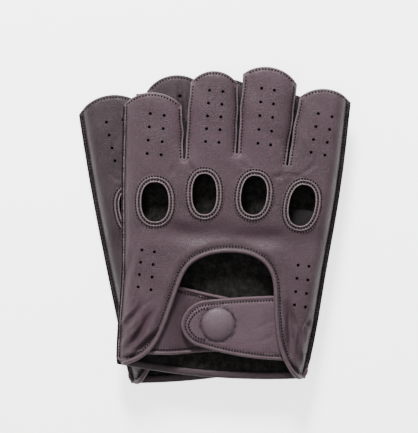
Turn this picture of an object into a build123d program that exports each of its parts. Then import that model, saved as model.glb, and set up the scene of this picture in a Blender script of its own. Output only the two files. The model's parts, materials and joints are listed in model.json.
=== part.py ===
"""A pair of fingerless leather driving gloves, lying flat, one on the other, backs up.

Each glove is made in its own frame as a left hand's: +Y towards the fingers, +X towards the thumb,
+Z up from the underside of the palm. The right hand's pieces are mirrored. Both gloves are then
turned and laid in the frame of the pair, which stands on its origin.
"""

import os
from math import asin, cos, sin

from build123d import *

# Leather
LEATHER = 1.2  # back panel with its lining
PALM = 1.2  # palm panel
SIDEWALL = 0.9  # fourchettes between the fingers
BINDING = 0.7  # binding leather, each side of the edge that it wraps

# Shape of the empty hand
CROWN = 12.0  # top of the back over the underside of the palm
SHOULDER = 7.0  # radius of the rolled sides
LONG = 80.0  # further than any glove reaches from its origin

# Bindings, holes and seams
EDGE_WIDTH = 2.8  # rolled binding of the wrist opening
HEM = 4.0  # binding of the palm's wrist edge
HEM_LAP = 2.0  # how far the palm runs into its hem
HEM_INSET = 2.3  # from each side seam to the end of the hem
RING_WIDTH = 3.8  # facing ring round a knuckle hole
RING_HEIGHT = 0.8

# Thumb sleeve
SLEEVE_HEIGHT = 5.8
SLEEVE_WALL = 0.7
SLEEVE_REACH = 25.0
SLEEVE_GAP = 1.0  # between the folded sleeve and the palm round it

# Strap, tab and snap, as heights over the underside of the palm
STRAP_TOP = 8.2
STRAP_MIDDLE = 7.2
STRAP_UNDER = 6.2
STRAP_EDGE = 1.8  # binding of the strap
STRAP_EDGE_LAP = 0.3  # how far that binding stands over the leather
TAB_UNDER = 3.4
TAB_TOP = 4.4
TAB_EDGE = 2.0
TAB_EDGE_LAP = 0.3
SNAP = (-3.7, -62.7)
CAP_RADIUS = 8.6
CAP_HEIGHT = 3.2
POST_RADIUS = 1.5
STUD_RADIUS = 2.2
SOCKET_RADIUS = 5.5
SOCKET_UNDER = 5.1
SOCKET_BORE = 2.6
STUD_NECK = 1.8
STUD_FLANGE = 5.0
WASHER_RADIUS = 4.5
WASHER = 0.5

PAIR_GAP = 0.3  # between the lower glove's highest point and the upper glove's palm

# The wrist opening's edge, from the little-finger lobe over the arch to the thumb lobe
WRIST_EDGE = [
    (-50.3, -86.2),
    (-36.5, -76.7),
    (-27.9, -53.4),
    (-21.1, -34.2),
    (0.5, -25.3),
    (16.5, -28.7),
    (23.9, -43.7),
    (28.2, -70.5),
    (38.1, -85.5),
]
STRAP_ROOT = [(18.2, -46.8), (25.0, -78.1)]  # the line that the strap bends on
STRAP_TIP = (-22.6, -64.0)
STRAP_CORNERS = [(-12.5, -51.3), (-11.5, -74.6)]  # where the tip's curves begin
STRAP_BOWS = [(3.0, -48.7), (6.0, -77.5)]  # points on the strap's long edges
STRAP_TIP_BOWS = [(-20.0, -57.0), (-19.4, -70.6)]  # points on the curves of its tip
STRAP_HIDDEN = 8.0  # drawn past the fold, then cut off along it
TAB_END = (9.0, -62.5)
TAB_UPPER_EDGE = [(-34.0, -45.4), (-13.9, -47.7), (1.0, -49.6)]
TAB_LOWER_EDGE = [(-41.0, -79.3), (-21.6, -78.3), (1.0, -75.4)]
TAB_FREE_END = 12.0
TAB_BEND = -24.0  # where the tab starts to rise to the lobe
TAB_SEWN_END = -46.0

# One row of sides: distance up the glove, little-finger side, thumb side.
# One row of tips: left corner, top and right corner of the fingertip's edge, little finger first.
# One knuckle row: centre, half width, half length, lean.
LEFT = {
    "sides": [(-95, -53.3, 41.8), (-40, -54.4, 47.9), (10, -57.5, 52.4), (75, -61.4, 55.5)],
    "tips": [
        ((-59.6, 43.4), (-44.3, 50.5), (-30.4, 45.1)),
        ((-26.5, 57.1), (-13.4, 63.6), (-3.0, 57.9)),
        ((-0.4, 63.9), (11.6, 67.8), (26.4, 60.7)),
        ((28.6, 54.2), (41.1, 59.0), (54.4, 53.4)),
    ],
    "valleys": [(-26.9, 18.1), (-0.8, 22.8), (24.6, 18.7)],
    "knuckles": [
        ("little", -39.8, -4.0, 6.9, 9.9, 4.4),
        ("ring", -15.5, 1.8, 6.1, 10.2, 4.4),
        ("middle", 9.2, 3.1, 6.4, 9.8, -2.5),
        ("index", 33.5, -0.1, 6.5, 10.4, -4.0),
    ],
    "wrist": -86.8,
    "thumb_root": [(43.6, -38.0), (46.6, -4.0)],
    "place": (10.8, 13.8),
    "turn": -4.4,
}
RIGHT = {
    "sides": [(-95, -46.5, 41.4), (-40, -52.0, 46.0), (10, -61.5, 49.0), (75, -74.5, 51.0)],
    "tips": [
        ((-68.2, 42.4), (-54.2, 49.0), (-40.2, 43.6)),
        ((-37.6, 55.0), (-25.4, 60.5), (-14.4, 56.4)),
        ((-12.6, 60.6), (2.2, 65.9), (14.0, 60.2)),
        ((19.8, 55.4), (32.3, 60.3), (50.4, 52.9)),
    ],
    "valleys": [(-32.5, 17.6), (-6.6, 22.2), (19.0, 18.2)],
    "knuckles": [
        ("little", -42.4, -4.0, 6.9, 9.9, 6.0),
        ("ring", -18.8, 1.8, 6.1, 10.2, 6.0),
        ("middle", 5.6, 3.1, 6.4, 9.8, -1.0),
        ("index", 29.4, 1.0, 6.5, 10.4, -3.0),
    ],
    "wrist": -86.6,
    "thumb_root": [(41.6, -38.0), (43.7, -4.0)],
    "place": (-11.6, 11.9),
    "turn": 7.7,
}


def side(glove, y, column):
    """Where the little-finger side (column 1) or the thumb side (column 2) runs at y."""
    rows = glove["sides"]
    for low, high in zip(rows, rows[1:]):
        if y <= high[0]:
            break
    share = (y - low[0]) / (high[0] - low[0])
    return low[column] + share * (high[column] - low[column])


def hand(glove, grow):
    """The solid arch that the back of the hand lies on, its surface moved out by grow."""
    rise = CROWN - PALM + grow
    shoulder = SHOULDER + grow
    with BuildPart() as arch:
        for y, little, thumb in glove["sides"]:
            half = (thumb - little) / 2 + grow
            crown = (half**2 + rise**2 - 2 * half * shoulder) / (2 * (rise - shoulder))
            lean = asin((half - shoulder) / (crown - shoulder))
            reach = half - shoulder + shoulder * sin(lean)
            height = shoulder * cos(lean)
            middle = (thumb + little) / 2
            with BuildSketch(Plane(origin=(middle, y, PALM), x_dir=(1, 0, 0), z_dir=(0, -1, 0))):
                with BuildLine():
                    TangentArc((-half, 0), (-reach, height), tangent=(0, 1))
                    ThreePointArc((-reach, height), (0, rise), (reach, height))
                    TangentArc((half, 0), (reach, height), tangent=(0, 1))
                    Line((half, 0), (-half, 0))
                make_face()
        loft(ruled=True)
    return arch.part


def fingertips(glove):
    """Draws the edges of the four fingertips and the narrow gaps between them, left to right."""
    tips = glove["tips"]
    for left, top, right in tips:
        ThreePointArc(left, top, right)
    for finger, following, valley in zip(tips, tips[1:], glove["valleys"]):
        x, y = valley
        Polyline(finger[2], (x - 0.7, y), (x + 0.7, y), following[0])


def finger_gap(glove, number):
    """The corners of the wedge between one finger and the next, run on past the fingertips."""
    left = glove["tips"][number][2]
    right = glove["tips"][number + 1][0]
    x, y = glove["valleys"][number]
    return [left, (x - 0.7, y), (x + 0.7, y), right, (right[0], LONG), (left[0], LONG)]


def back_outline(glove):
    """The back panel flat, wider than the hand at the sides, where the arch trims it."""
    tips = glove["tips"]
    wrist = glove["wrist"]
    with BuildSketch() as outline:
        with BuildLine():
            fingertips(glove)
            edge = Spline(*WRIST_EDGE)
            Polyline(edge @ 0, (-56, wrist + 3), (-LONG, wrist + 3), (-LONG, tips[0][0][1]), tips[0][0])
            Polyline(edge @ 1, (40.4, wrist + 0.2), (LONG, wrist + 3), (LONG, tips[3][2][1]), tips[3][2])
        make_face()
    return outline.sketch


def palm_outline(glove):
    """The palm panel flat, with the slightly bowed wrist edge."""
    tips = glove["tips"]
    wrist = glove["wrist"]
    rows = [row[0] for row in glove["sides"][1:-1]]
    little = [(side(glove, y, 1), y) for y in (wrist, *rows, tips[0][0][1])]
    thumb = [(side(glove, y, 2), y) for y in (wrist, *rows, tips[3][2][1])]
    with BuildSketch() as outline:
        with BuildLine():
            fingertips(glove)
            Polyline(*little, tips[0][0])
            Polyline(*thumb, tips[3][2])
            ThreePointArc(little[0], (-6, wrist - 3), thumb[0])
        make_face()
    return outline.sketch


def back_panel(glove):
    with BuildPart() as panel:
        add(hand(glove, 0))
        add(hand(glove, -LEATHER), mode=Mode.SUBTRACT)
        with BuildSketch():
            add(back_outline(glove))
        extrude(amount=2 * CROWN, mode=Mode.INTERSECT)
        with BuildSketch():
            for name, x, y, half_width, half_length, lean in glove["knuckles"]:
                with Locations(Location((x, y), lean)):
                    Ellipse(half_width, half_length)
        extrude(amount=2 * CROWN, mode=Mode.SUBTRACT)
    return panel.part


def knuckle_ring(glove, x, y, half_width, half_length, lean):
    """The flat facing sewn on the back round one knuckle hole."""
    with BuildPart() as ring:
        add(hand(glove, RING_HEIGHT))
        add(hand(glove, 0), mode=Mode.SUBTRACT)
        with BuildSketch():
            with Locations(Location((x, y), lean)):
                Ellipse(half_width + RING_WIDTH, half_length + RING_WIDTH)
                Ellipse(half_width, half_length, mode=Mode.SUBTRACT)
        extrude(amount=2 * CROWN, mode=Mode.INTERSECT)
    return ring.part


def wrist_opening_binding(glove, panel):
    """The rolled strip wrapped over the edge of the half-moon and down both lobes."""
    with BuildPart() as strip:
        add(hand(glove, BINDING))
        add(hand(glove, -LEATHER - BINDING), mode=Mode.SUBTRACT)
        with BuildSketch():
            with BuildLine() as edge:
                Spline(*WRIST_EDGE)
            trace(edge.edges(), line_width=EDGE_WIDTH)
        extrude(amount=2 * CROWN, mode=Mode.INTERSECT)
        add(panel, mode=Mode.SUBTRACT)
    return strip.part


def fourchette(glove, number):
    """The folded strip that walls the facing sides of two fingers and joins them at the valley."""
    wedge = finger_gap(glove, number)
    with BuildPart() as strip:
        with BuildSketch():
            with BuildLine():
                Polyline(*wedge, close=True)
            gap = make_face()
            offset(gap, amount=SIDEWALL, kind=Kind.INTERSECTION)
            add(gap, mode=Mode.SUBTRACT)
            add(palm_outline(glove), mode=Mode.INTERSECT)
        extrude(amount=2 * CROWN)
        add(hand(glove, -LEATHER), mode=Mode.INTERSECT)
    return strip.part


def thumb_plane(glove, height):
    """A plane whose X runs inward from the thumb's sewn root and whose Y runs along the root."""
    low, high = glove["thumb_root"]
    along = Vector(high[0] - low[0], high[1] - low[1])
    middle = ((low[0] + high[0]) / 2, (low[1] + high[1]) / 2, height)
    inward = Vector(-along.Y, along.X)
    return Plane(origin=middle, x_dir=inward, z_dir=(0, 0, 1))


def root_length(glove):
    low, high = glove["thumb_root"]
    return (Vector(*high) - Vector(*low)).length


def palm_panel(glove):
    wrist = glove["wrist"]
    with BuildPart() as palm:
        with BuildSketch():
            add(palm_outline(glove))
            with BuildLine():
                ThreePointArc((-LONG, wrist + HEM_LAP), (-6, wrist - 3 + HEM_LAP), (LONG, wrist + HEM_LAP))
                Polyline((LONG, wrist + HEM_LAP), (LONG, wrist - 9), (-LONG, wrist - 9), (-LONG, wrist + HEM_LAP))
            make_face(mode=Mode.SUBTRACT)
        extrude(amount=PALM)
        with BuildSketch(thumb_plane(glove, 0)):
            width = root_length(glove) + 2 * SLEEVE_GAP
            with Locations((SLEEVE_REACH / 2, 0)):
                Rectangle(SLEEVE_REACH + 2 * SLEEVE_GAP, width)
        extrude(amount=PALM, mode=Mode.SUBTRACT)
    return palm.part


def palm_hem_binding(glove, palm):
    """The wide binding that wraps the palm's wrist edge between the lobes, flush with the palm below."""
    wrist = glove["wrist"]
    little = side(glove, wrist, 1) + HEM_INSET
    thumb = side(glove, wrist, 2) - HEM_INSET
    with BuildPart() as hem:
        with BuildSketch():
            with BuildLine():
                edge = ThreePointArc((little, wrist), (-6, wrist - 3), (thumb, wrist))
                inner = ThreePointArc((little, wrist + HEM), (-6, wrist - 3 + HEM), (thumb, wrist + HEM))
                Line(edge @ 0, inner @ 0)
                Line(edge @ 1, inner @ 1)
            make_face()
        extrude(amount=PALM + BINDING)
        add(palm, mode=Mode.SUBTRACT)
    return hem.part


def thumb_sleeve(glove):
    """The short thumb stall, pressed flat and folded in under the hand, open at both ends."""
    width = root_length(glove)
    with BuildPart() as sleeve:
        with BuildSketch(thumb_plane(glove, SLEEVE_HEIGHT / 2)):
            with Locations((SLEEVE_REACH / 2, 0)):
                Rectangle(SLEEVE_REACH, width)
        extrude(amount=SLEEVE_HEIGHT / 2, both=True)
        inward = thumb_plane(glove, 0).x_dir
        fillet(sleeve.edges().filter_by(Axis((0, 0, 0), inward)), SLEEVE_HEIGHT * 0.4)
        with BuildSketch(thumb_plane(glove, SLEEVE_HEIGHT / 2)):
            with Locations((SLEEVE_REACH / 2, 0)):
                Rectangle(SLEEVE_REACH, width - 2 * SLEEVE_WALL)
        extrude(amount=SLEEVE_HEIGHT / 2 - SLEEVE_WALL, both=True, mode=Mode.SUBTRACT)
    return sleeve.part


def strap_outline(inset):
    """The tapered strap seen from above, its three free edges moved in by inset."""
    (top_x, top_y), (low_x, low_y) = STRAP_ROOT
    with BuildSketch() as outline:
        with BuildLine():
            upper = ThreePointArc((top_x + STRAP_HIDDEN, top_y + 1), STRAP_BOWS[0], STRAP_CORNERS[0])
            ThreePointArc(STRAP_CORNERS[0], STRAP_TIP_BOWS[0], STRAP_TIP)
            ThreePointArc(STRAP_TIP, STRAP_TIP_BOWS[1], STRAP_CORNERS[1])
            lower = ThreePointArc(STRAP_CORNERS[1], STRAP_BOWS[1], (low_x + STRAP_HIDDEN, low_y))
            Line(lower @ 1, upper @ 0)
        make_face()
        if inset:
            offset(amount=-inset)
        lean = (low_x - top_x) / (top_y - low_y)
        with BuildLine():
            Polyline(
                (top_x - STRAP_HIDDEN * lean, top_y + STRAP_HIDDEN),
                (low_x + STRAP_HIDDEN * lean, low_y - STRAP_HIDDEN),
                (-LONG, low_y - STRAP_HIDDEN),
                (-LONG, top_y + STRAP_HIDDEN),
                close=True,
            )
        make_face(mode=Mode.INTERSECT)
    return outline.sketch


def strap_layer(low, high, inset=0.0):
    """One flat layer of the strap between two heights, with the hole for the snap's post."""
    with BuildPart() as layer:
        with BuildSketch(Plane.XY.offset(low)):
            add(strap_outline(inset))
            with Locations(SNAP):
                Circle(POST_RADIUS, mode=Mode.SUBTRACT)
        extrude(amount=high - low)
    return layer.part


def strap_binding(inner):
    """The strip folded over the strap's free edges, standing a little over the leather."""
    low = STRAP_UNDER - STRAP_EDGE_LAP
    with BuildPart() as strip:
        with BuildSketch(Plane.XY.offset(low)):
            add(strap_outline(0))
            add(strap_outline(STRAP_EDGE), mode=Mode.SUBTRACT)
        extrude(amount=STRAP_TOP + STRAP_EDGE_LAP - low)
        for piece in inner:
            add(piece, mode=Mode.SUBTRACT)
    return strip.part


def strap_root(glove, strip):
    """The sewn end of the strap, from the line it bends on to under the thumb lobe."""
    top, low = STRAP_ROOT
    with BuildPart() as root:
        with BuildSketch(Plane.XY.offset(STRAP_UNDER)):
            with BuildLine():
                Polyline(top, (top[0] + 12, top[1] + 1), (low[0] + 10, low[1] + 0.5), low, close=True)
            make_face()
        extrude(amount=STRAP_TOP - STRAP_UNDER)
        add(hand(glove, -LEATHER - BINDING), mode=Mode.INTERSECT)
        add(strip, mode=Mode.SUBTRACT)
    return root.part


def tab_sheet(under, over):
    """A sheet that lies flat below the strap and rises to the little-finger lobe."""
    with BuildPart() as sheet:
        with BuildSketch(Plane.XZ.offset(LONG / 2)):
            with BuildLine():
                Polyline(
                    (TAB_FREE_END, TAB_UNDER - under),
                    (TAB_BEND, TAB_UNDER - under),
                    (TAB_BEND - 7, TAB_UNDER + 3.2 - under),
                    (TAB_SEWN_END, TAB_UNDER + 2.2 - under),
                    (TAB_SEWN_END, TAB_TOP + 5.1 + over),
                    (TAB_BEND - 5.5, TAB_TOP + 3.8 + over),
                    (TAB_BEND - 1, TAB_TOP + over),
                    (TAB_FREE_END, TAB_TOP + over),
                    close=True,
                )
            make_face()
        extrude(amount=LONG / 2)
    return sheet.part


def tab_edges():
    """Draws the upper and lower edges of the tab and returns them."""
    return Spline(*TAB_UPPER_EDGE), Spline(*TAB_LOWER_EDGE)


def closure_tab(glove):
    """The tab that holds the stud, sewn under the little-finger lobe."""
    with BuildPart() as tab:
        with BuildSketch():
            with BuildLine():
                upper, lower = tab_edges()
                ThreePointArc(upper @ 1, TAB_END, lower @ 1)
                Line(upper @ 0, lower @ 0)
            make_face()
            with Locations(SNAP):
                Circle(POST_RADIUS, mode=Mode.SUBTRACT)
        extrude(amount=2 * CROWN)
        add(tab_sheet(0, 0), mode=Mode.INTERSECT)
        add(hand(glove, -LEATHER - BINDING), mode=Mode.INTERSECT)
    return tab.part


def tab_binding(glove, edge_number, tab):
    """The strip folded over one long edge of the tab."""
    with BuildPart() as strip:
        with BuildSketch():
            with BuildLine(mode=Mode.PRIVATE):
                edge = tab_edges()[edge_number]
            trace(edge, line_width=TAB_EDGE)
        extrude(amount=2 * CROWN)
        add(tab_sheet(TAB_EDGE_LAP, TAB_EDGE_LAP), mode=Mode.INTERSECT)
        add(hand(glove, -LEATHER - BINDING), mode=Mode.INTERSECT)
        add(tab, mode=Mode.SUBTRACT)
    return strip.part


def snap_cap():
    """The domed cap on the strap, with its post down to the socket."""
    with BuildPart() as cap:
        with Locations((*SNAP, STRAP_TOP)):
            Cylinder(CAP_RADIUS, CAP_HEIGHT, align=(Align.CENTER, Align.CENTER, Align.MIN))
        fillet(cap.edges().group_by(Axis.Z)[-1], CAP_HEIGHT * 0.8)
        with Locations((*SNAP, STRAP_UNDER)):
            height = STRAP_TOP - STRAP_UNDER
            Cylinder(POST_RADIUS, height, align=(Align.CENTER, Align.CENTER, Align.MIN))
    return cap.part


def snap_socket():
    """The ring under the strap that grips the stud."""
    with BuildPart() as socket:
        with BuildSketch(Plane.XY.offset(SOCKET_UNDER)):
            with Locations(SNAP):
                Circle(SOCKET_RADIUS)
                Circle(SOCKET_BORE, mode=Mode.SUBTRACT)
        extrude(amount=STRAP_UNDER - SOCKET_UNDER)
        chamfer(socket.edges().group_by(Axis.Z)[0].sort_by(SortBy.LENGTH)[-1], 0.4)
    return socket.part


def snap_stud():
    """The knob on the tab that the socket presses over."""
    top = STRAP_UNDER - 0.2
    with BuildPart() as stud:
        with BuildSketch(Plane(origin=(*SNAP, 0), x_dir=(1, 0, 0), z_dir=(0, -1, 0))):
            with BuildLine():
                foot = Polyline((0, top), (0, TAB_TOP), (STUD_FLANGE, TAB_TOP), (STUD_FLANGE, TAB_TOP + 0.3))
                neck = Polyline(foot @ 1, (STUD_NECK, TAB_TOP + 0.4), (STUD_NECK, TAB_TOP + 0.9))
                Polyline(neck @ 1, (STUD_RADIUS, TAB_TOP + 1.1), (STUD_RADIUS - 0.3, top), (0, top))
            make_face()
        revolve(axis=Axis((*SNAP, 0), (0, 0, 1)))
    return stud.part


def snap_post():
    """The rivet through the tab, with its washer inside the glove."""
    with BuildPart() as post:
        with Locations((*SNAP, TAB_UNDER)):
            Cylinder(POST_RADIUS, TAB_TOP - TAB_UNDER, align=(Align.CENTER, Align.CENTER, Align.MIN))
            Cylinder(WASHER_RADIUS, WASHER, align=(Align.CENTER, Align.CENTER, Align.MAX))
        fillet(post.edges().group_by(Axis.Z)[0], 0.3)
    return post.part


def make_glove(glove):
    """Every piece of one glove, by name, in the left hand's own frame."""
    panel = back_panel(glove)
    opening_strip = wrist_opening_binding(glove, panel)
    palm = palm_panel(glove)
    tab = closure_tab(glove)
    strap = strap_layer(STRAP_MIDDLE, STRAP_TOP, STRAP_EDGE / 2)
    lining = strap_layer(STRAP_UNDER, STRAP_MIDDLE, STRAP_EDGE / 2)
    pieces = {
        "back_panel": panel,
        "palm_panel": palm,
        "palm_hem_binding": palm_hem_binding(glove, palm),
        "wrist_opening_binding": opening_strip,
        "ring_little_fourchette": fourchette(glove, 0),
        "middle_ring_fourchette": fourchette(glove, 1),
        "index_middle_fourchette": fourchette(glove, 2),
        "thumb_sleeve": thumb_sleeve(glove),
        "closure_tab": tab,
        "tab_upper_binding": tab_binding(glove, 0, tab),
        "tab_lower_binding": tab_binding(glove, 1, tab),
        "strap": strap,
        "strap_lining": lining,
        "strap_binding": strap_binding((strap, lining)),
        "strap_root": strap_root(glove, opening_strip),
        "snap_cap": snap_cap(),
        "snap_socket": snap_socket(),
        "snap_stud": snap_stud(),
        "snap_post": snap_post(),
    }
    for finger, x, y, half_width, half_length, lean in glove["knuckles"]:
        pieces["knuckle_ring_" + finger] = knuckle_ring(glove, x, y, half_width, half_length, lean)
    return pieces


def lay(piece, glove, mirrored, height):
    """Turns a finished piece into its glove's place in the pair."""
    laid = mirror(piece, about=Plane.YZ) if mirrored else piece
    return Location((*glove["place"], height), (0, 0, glove["turn"])) * laid


upper_height = CROWN + RING_HEIGHT + PAIR_GAP
pair = {}
for name, piece in make_glove(LEFT).items():
    pair["left_" + name] = lay(piece, LEFT, False, upper_height)
for name, piece in make_glove(RIGHT).items():
    pair["right_" + name] = lay(piece, RIGHT, True, 0)

# The origin goes to the middle of the pair's footprint.
box = Compound(list(pair.values())).bounding_box()
centre = Location((-box.center().X, -box.center().Y, 0))

os.makedirs("parts", exist_ok=True)
for name, piece in pair.items():
    placed = centre * piece
    placed.label = name
    export_step(placed, f"parts/{name}.step")
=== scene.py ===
"""Looks of a pair of fingerless leather driving gloves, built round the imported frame.

Each glove is drawn flat in millimetres as a left hand's pattern: +Y to the fingers, +X to the thumb,
heights over the underside of the palm. The strap's hinge in the record says where each glove lies.
"""

import json
import math

import bpy
import numpy as np
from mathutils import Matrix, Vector
from mathutils.geometry import delaunay_2d_cdt


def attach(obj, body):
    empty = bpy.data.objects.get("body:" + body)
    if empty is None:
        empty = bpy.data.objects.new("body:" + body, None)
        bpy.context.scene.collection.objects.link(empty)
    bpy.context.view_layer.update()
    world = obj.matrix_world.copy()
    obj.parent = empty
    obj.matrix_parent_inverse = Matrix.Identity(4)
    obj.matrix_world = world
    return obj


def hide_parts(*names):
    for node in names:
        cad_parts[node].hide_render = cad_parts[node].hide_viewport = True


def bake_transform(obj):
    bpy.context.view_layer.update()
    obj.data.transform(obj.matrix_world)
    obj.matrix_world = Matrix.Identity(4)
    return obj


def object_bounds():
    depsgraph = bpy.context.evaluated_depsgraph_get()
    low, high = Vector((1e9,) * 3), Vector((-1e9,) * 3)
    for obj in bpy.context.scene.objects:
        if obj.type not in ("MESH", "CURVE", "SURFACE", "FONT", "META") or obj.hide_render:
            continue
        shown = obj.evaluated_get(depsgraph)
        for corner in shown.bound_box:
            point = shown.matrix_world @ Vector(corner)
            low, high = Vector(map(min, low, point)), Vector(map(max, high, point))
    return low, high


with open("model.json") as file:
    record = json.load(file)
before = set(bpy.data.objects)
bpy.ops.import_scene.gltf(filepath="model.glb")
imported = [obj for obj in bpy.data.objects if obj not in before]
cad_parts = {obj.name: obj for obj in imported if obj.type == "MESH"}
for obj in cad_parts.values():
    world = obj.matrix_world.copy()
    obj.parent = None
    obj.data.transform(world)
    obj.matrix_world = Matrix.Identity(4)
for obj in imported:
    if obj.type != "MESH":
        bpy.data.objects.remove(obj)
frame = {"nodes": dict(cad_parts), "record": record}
cad_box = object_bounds()

MM = 0.001

# ---------------------------------------------------------------- pattern, in millimetres
LEATHER = 1.1
PALM = 1.2
FLANGE_HEIGHT = 2.6  # the sewn side edge over the palm's underside
CROWN_HEIGHT = 11.2  # the middle of the back
SEAM_IN = 1.2  # from a raw edge to its stitches
LITTLE_SEAM = (0.35, 1.75)  # the little finger side's two stitch rows, from its edge
THUMB_SEAM = (0.45, 1.55)  # the thumb side's
OPENING_STITCHES = 1.95  # from the wrist opening's edge to its stitches
STITCH_RISE = 0.26  # a stitch's middle over the leather
FINE_STITCH = {"length": 0.88, "thick": 0.38, "pitch": 1.45}
PERFORATION = 0.76
BINDING_RADIUS = 1.08
TIP_MARK = 0.34  # how far a raw edge's light rim fades in
ARC_STEP = 0.9
LOW_END, HIGH_END = -84, 52  # the side seams' ends

# A knuckle ring's section: out from the hole's edge, height over the leather, light rim, dark seam.
RING_PROFILE = [
    (0.15, -1.7, 0, 1), (-0.1, -0.5, 0, 1), (-0.08, 0.1, 0.3, 0.2), (0.08, 0.4, 0.9, 0), (0.28, 0.48, 1, 0),
    (0.5, 0.38, 0.8, 0), (0.68, 0.08, 0.3, 0), (0.95, -0.04, 0.3, 0), (1.42, -0.04, 0.3, 0),
    (1.66, 0.12, 0.25, 0), (1.85, 0.44, 0.55, 0), (2.05, 0.54, 0.75, 0), (2.26, 0.44, 0.5, 0),
    (2.46, 0.1, 0.3, 0), (2.75, -0.04, 0.3, 0), (3.22, -0.04, 0.2, 0.1), (3.45, 0.12, 0.1, 0),
    (3.75, 0.06, 0, 0), (4, -0.4, 0, 0),
]
RING_ROWS = (1.18, 2.98)  # stitch rows, out from the hole's edge
RING_POINTS = 132

# The wrist opening's edge, from the little finger lobe round the half-moon to the thumb lobe.
WRIST_EDGE = [
    (-50.3, -86.2), (-42.2, -82.1), (-36.5, -76.7), (-31.8, -67.1), (-27.9, -53.4), (-24.8, -42.2),
    (-21.1, -34.2), (-13.4, -28.4), (-6, -26), (2, -25.2), (9.6, -25.9), (16.5, -29), (21.4, -35),
    (23.7, -43.7), (24.5, -50.9), (25.6, -59.2), (28.2, -70.5), (32, -78.6), (36, -84), (39.3, -86.1),
    (41.7, -84.8), (42.4, -81.4),
]
FOLD_LOW = (25.0, -78.1)
FOLD_TOP = (18.2, -46.8)
FOLD_HEIGHT = 8.5
FOLD_REACH = (1.6, 2.2)  # how far from the fold its sewn side and its free side lie; worked out in bend_with_strap but not used
STRAP_TOP = 8.9
STRAP_UNDER = 6.35
STRAP_STITCHES = 2.45  # from the strap's edge
STRAP_ARCS = [  # start, middle and end of each stretch of the free edge
    ((26.2, -45.9), (3.0, -48.7), (-12.5, -51.3)),
    ((-12.5, -51.3), (-20.0, -57.0), (-22.6, -64.0)),
    ((-22.6, -64.0), (-19.4, -70.6), (-11.5, -74.6)),
    ((-11.5, -74.6), (6.0, -77.5), (33.0, -78.1)),
]
STRAP_CREASES = [((17, -52), (22, -60)), ((16, -63), (23, -59)), ((17, -70), (24, -66))]
TAB_UPPER = [(-34.0, -45.0), (-24.0, -46.2), (-13.9, -47.9), (0.5, -49.8)]
TAB_LOWER = [(-40.5, -79.4), (-21.6, -78.3), (-10.7, -76.6), (1.0, -75.2)]
TAB_END = (9.0, -62.5)
TAB_STITCHES = 1.75
UNDER_BACK = 1.5  # the tab's top under the back's
SNAP = (-3.7, -62.7)
CAP_RADIUS = 8.6
CAP_PROFILE = [  # radius, height, painted shade in the groove round the cap's edge
    (0.2, 11.42, 0), (1.4, 11.38, 0), (2.8, 11.22, 0), (4.2, 10.95, 0), (5.5, 10.55, 0), (6.6, 10.08, 0),
    (7.5, 9.58, 0), (8.15, 9.05, 0.1), (8.50, 8.55, 0.55), (8.45, 8.10, 0.9), (7.9, 7.85, 1), (4.0, 7.80, 1),
    (0.2, 7.80, 1),
]
STALL_DEPTHS = (0.0, 0.25, 4, 8, 12, 16, 20, 26.5, 26.95)
STALL_REACH = 25.0
FINGER_GAPS = ("ring_little", "middle_ring", "index_middle")
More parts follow.
